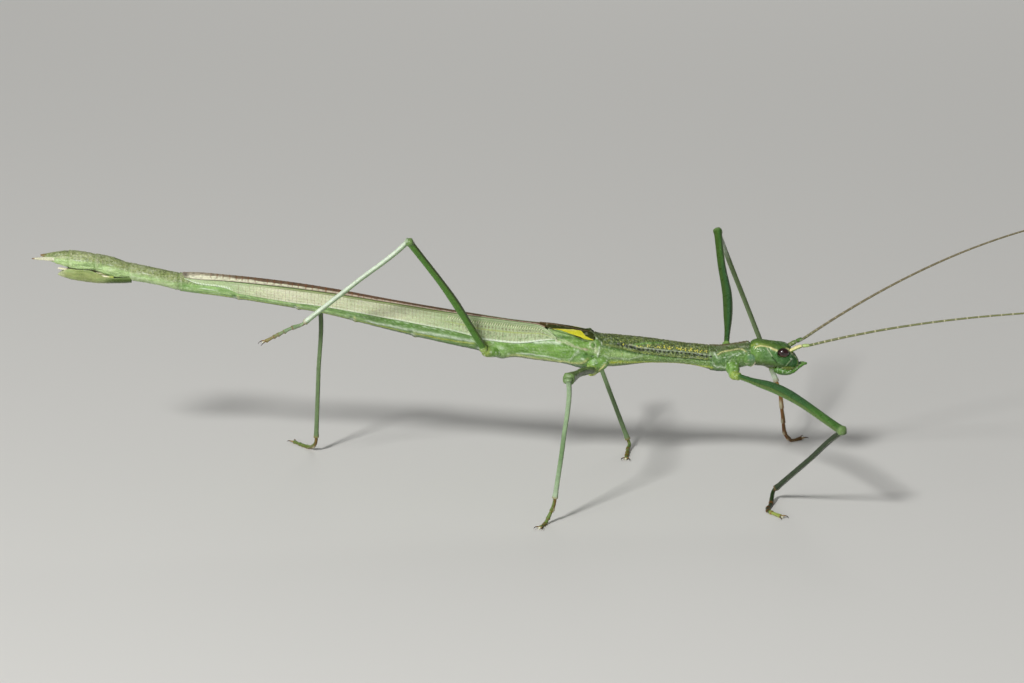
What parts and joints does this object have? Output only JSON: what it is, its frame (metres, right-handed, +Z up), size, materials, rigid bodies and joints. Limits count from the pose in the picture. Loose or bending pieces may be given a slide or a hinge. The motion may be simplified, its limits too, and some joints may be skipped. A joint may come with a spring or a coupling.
{
  "type": "winged stick insect",
  "caption": "Female winged stick insect as a still life-size model, standing on the floor with one hind leg raised.",
  "frame": {"origin": "middle of the model's box, on the floor that the feet stand on", "axes": "+X towards the head and along the body, +Y to the insect's left, +Z up"},
  "size_m": [0.1192, 0.036, 0.0281],
  "materials": {
    "head_cuticle": "smooth waxy insect cuticle, blue green",
    "thorax_cuticle": "finely granulated insect cuticle, green with yellow grains",
    "abdomen_cuticle": "smooth insect cuticle, green with pale lengthwise lines",
    "tail_cuticle": "finely granulated insect cuticle, grey green",
    "hindwing": "leathery folded wing, pale green with a brown fan",
    "forewing": "leathery short wing, brown green with a yellow mark",
    "leg_cuticle": "smooth insect cuticle, green with darker stripes",
    "foot_cuticle": "tan insect cuticle with brown joints",
    "antenna_cuticle": "olive brown insect cuticle with pale joints",
    "eye": "glossy dark maroon compound eye"
  },
  "bodies": {
    "root": {"abdomen_10": "tail_cuticle", "abdomen_2": "abdomen_cuticle", "abdomen_3": "abdomen_cuticle", "abdomen_4": "abdomen_cuticle", "abdomen_5": "abdomen_cuticle", "abdomen_6": "abdomen_cuticle", "abdomen_7": "tail_cuticle", "abdomen_8": "tail_cuticle", "abdomen_9": "tail_cuticle", "antenna_left": "antenna_cuticle", "antenna_right": "antenna_cuticle", "cercus_left": "tail_cuticle", "cercus_right": "tail_cuticle", "coxa_fore_left": "leg_cuticle", "coxa_fore_right": "leg_cuticle", "coxa_hind_left": "leg_cuticle", "coxa_hind_right": "leg_cuticle", "coxa_middle_left": "leg_cuticle", "coxa_middle_right": "leg_cuticle", "eye_left": "eye", "eye_right": "eye", "femur_fore_left": "leg_cuticle", "femur_fore_right": "leg_cuticle", "femur_hind_left": "leg_cuticle", "femur_hind_right": "leg_cuticle", "femur_middle_left": "leg_cuticle", "femur_middle_right": "leg_cuticle", "head": "head_cuticle", "hindwing_left": "hindwing", "hindwing_right": "hindwing", "mesothorax": "thorax_cuticle", "metathorax": "thorax_cuticle", "mouthparts": "head_cuticle", "operculum": "tail_cuticle", "prothorax": "thorax_cuticle", "tarsus_fore_left": "foot_cuticle", "tarsus_fore_right": "foot_cuticle", "tarsus_hind_left": "foot_cuticle", "tarsus_hind_right": "foot_cuticle", "tarsus_middle_left": "foot_cuticle", "tarsus_middle_right": "foot_cuticle", "tegmen_left": "forewing", "tegmen_right": "forewing", "tibia_fore_left": "leg_cuticle", "tibia_fore_right": "leg_cuticle", "tibia_hind_left": "leg_cuticle", "tibia_hind_right": "leg_cuticle", "tibia_middle_left": "leg_cuticle", "tibia_middle_right": "leg_cuticle"}
  },
  "joints": []
}
